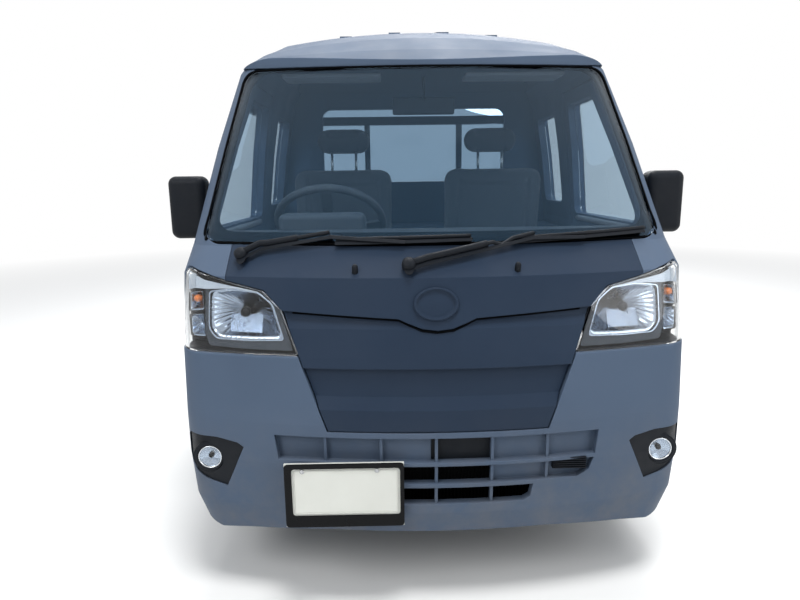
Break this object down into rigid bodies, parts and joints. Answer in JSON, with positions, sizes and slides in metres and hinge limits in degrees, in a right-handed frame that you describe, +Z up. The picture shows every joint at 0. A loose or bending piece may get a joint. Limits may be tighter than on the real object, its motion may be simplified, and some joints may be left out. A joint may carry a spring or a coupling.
{
  "type": "kei truck",
  "caption": "Small cab-over pickup truck with an extended high-roof cab and a flat bed with drop sides.",
  "frame": {"origin": "on the ground, under the middle of the truck's bounding box", "axes": "+Z up, -Y towards the front of the truck, +X towards its left side"},
  "size_m": [1.7, 3.395, 1.885],
  "materials": {
    "body_paint": "matte",
    "charcoal_paint": "matte",
    "black_trim": "grained",
    "clear_glass": "polished",
    "lamp_glass": "polished",
    "lamp_inside": "gloss",
    "tyre_rubber": "matte",
    "rim_paint": "satin",
    "chassis_black": "satin",
    "cast_metal": "rough",
    "cabin_plastic": "grained",
    "seat_fabric": "woven",
    "tail_lens": "gloss",
    "plate_paint": "satin",
    "exhaust_steel": "dull",
    "flap_rubber": "matte"
  },
  "bodies": {
    "chassis": {"bed_floor": "body_paint", "cab_back": "body_paint", "cab_floor": "body_paint", "cab_roof": "body_paint", "cab_side_left": "body_paint", "cab_side_right": "body_paint", "cab_windows": "clear_glass", "cross_members": "chassis_black", "dashboard": "cabin_plastic", "engine_block": "cast_metal", "exhaust": "exhaust_steel", "firewall": "black_trim", "frame_rails": "chassis_black", "front_bumper": "body_paint", "front_panel": "charcoal_paint", "fuel_tank": "chassis_black", "guard_frame": "body_paint", "lamp_housings": "lamp_inside", "lamp_lenses": "lamp_glass", "licence_plate": "plate_paint", "mudflaps": "flap_rubber", "rear_axle": "chassis_black", "seat_backs": "seat_fabric", "seat_cushions": "seat_fabric", "spare_wheel": "tyre_rubber", "steering_column": "cabin_plastic", "suspension": "chassis_black", "tail_lamps": "tail_lens", "windshield": "clear_glass", "wipers": "black_trim"},
    "steering_wheel": {"steering_wheel": "cabin_plastic"},
    "tailgate": {"tailgate": "body_paint"},
    "door_left": {"door_left": "body_paint", "door_glass_left": "clear_glass", "mirror_left": "black_trim"},
    "gate_left": {"gate_left": "body_paint"},
    "knuckle_left": {"knuckle_left": "cast_metal"},
    "wheel_front_left": {"tyre_front_left": "tyre_rubber", "rim_front_left": "rim_paint"},
    "wheel_rear_left": {"tyre_rear_left": "tyre_rubber", "rim_rear_left": "rim_paint"},
    "door_right": {"door_right": "body_paint", "door_glass_right": "clear_glass", "mirror_right": "black_trim"},
    "gate_right": {"gate_right": "body_paint"},
    "knuckle_right": {"knuckle_right": "cast_metal"},
    "wheel_front_right": {"tyre_front_right": "tyre_rubber", "rim_front_right": "rim_paint"},
    "wheel_rear_right": {"tyre_rear_right": "tyre_rubber", "rim_rear_right": "rim_paint"}
  },
  "joints": [
    {"name": "steering_wheel_turn", "type": "hinge", "parent": "chassis", "child": "steering_wheel", "pos_m": [-0.33, -1.1105, 1.075], "axis": [0, 0.6691, 0.7431], "range_deg": [-490, 490]},
    {"name": "door_left_swing", "type": "hinge", "parent": "chassis", "child": "door_left", "pos_m": [0.7375, -1.3635, 0.73], "axis": [0, 0, -1], "range_deg": [0, 65]},
    {"name": "gate_left_drop", "type": "hinge", "parent": "chassis", "child": "gate_left", "pos_m": [0.731, 0.7045, 0.632], "axis": [0, 1, 0], "range_deg": [0, 170]},
    {"name": "knuckle_left_steer", "type": "hinge", "parent": "chassis", "child": "knuckle_left", "pos_m": [0.57, -0.8705, 0.19], "axis": [-0.0797, 0, 0.9968], "range_deg": [-35, 35]},
    {"name": "wheel_front_left_spin", "type": "hinge", "parent": "knuckle_left", "child": "wheel_front_left", "pos_m": [0.652, -0.8705, 0.2685], "axis": [1, 0, 0], "continuous": true},
    {"name": "wheel_rear_left_spin", "type": "hinge", "parent": "chassis", "child": "wheel_rear_left", "pos_m": [0.652, 1.0295, 0.2685], "axis": [1, 0, 0], "continuous": true},
    {"name": "door_right_swing", "type": "hinge", "parent": "chassis", "child": "door_right", "pos_m": [-0.7375, -1.3635, 0.73], "axis": [0, 0, 1], "range_deg": [0, 65]},
    {"name": "gate_right_drop", "type": "hinge", "parent": "chassis", "child": "gate_right", "pos_m": [-0.731, 0.7045, 0.632], "axis": [0, -1, 0], "range_deg": [0, 170]},
    {"name": "knuckle_right_steer", "type": "hinge", "parent": "chassis", "child": "knuckle_right", "pos_m": [-0.57, -0.8705, 0.19], "axis": [0.0797, 0, 0.9968], "range_deg": [-35, 35]},
    {"name": "wheel_front_right_spin", "type": "hinge", "parent": "knuckle_right", "child": "wheel_front_right", "pos_m": [-0.652, -0.8705, 0.2685], "axis": [1, 0, 0], "continuous": true},
    {"name": "wheel_rear_right_spin", "type": "hinge", "parent": "chassis", "child": "wheel_rear_right", "pos_m": [-0.652, 1.0295, 0.2685], "axis": [1, 0, 0], "continuous": true},
    {"name": "tailgate_drop", "type": "hinge", "parent": "chassis", "child": "tailgate", "pos_m": [0, 1.6915, 0.632], "axis": [-1, 0, 0], "range_deg": [0, 170]}
  ],
  "couplings": [
    {"joint": "knuckle_left_steer", "follows": "steering_wheel_turn", "ratio": 0.071429},
    {"joint": "knuckle_right_steer", "follows": "steering_wheel_turn", "ratio": 0.071429}
  ]
}
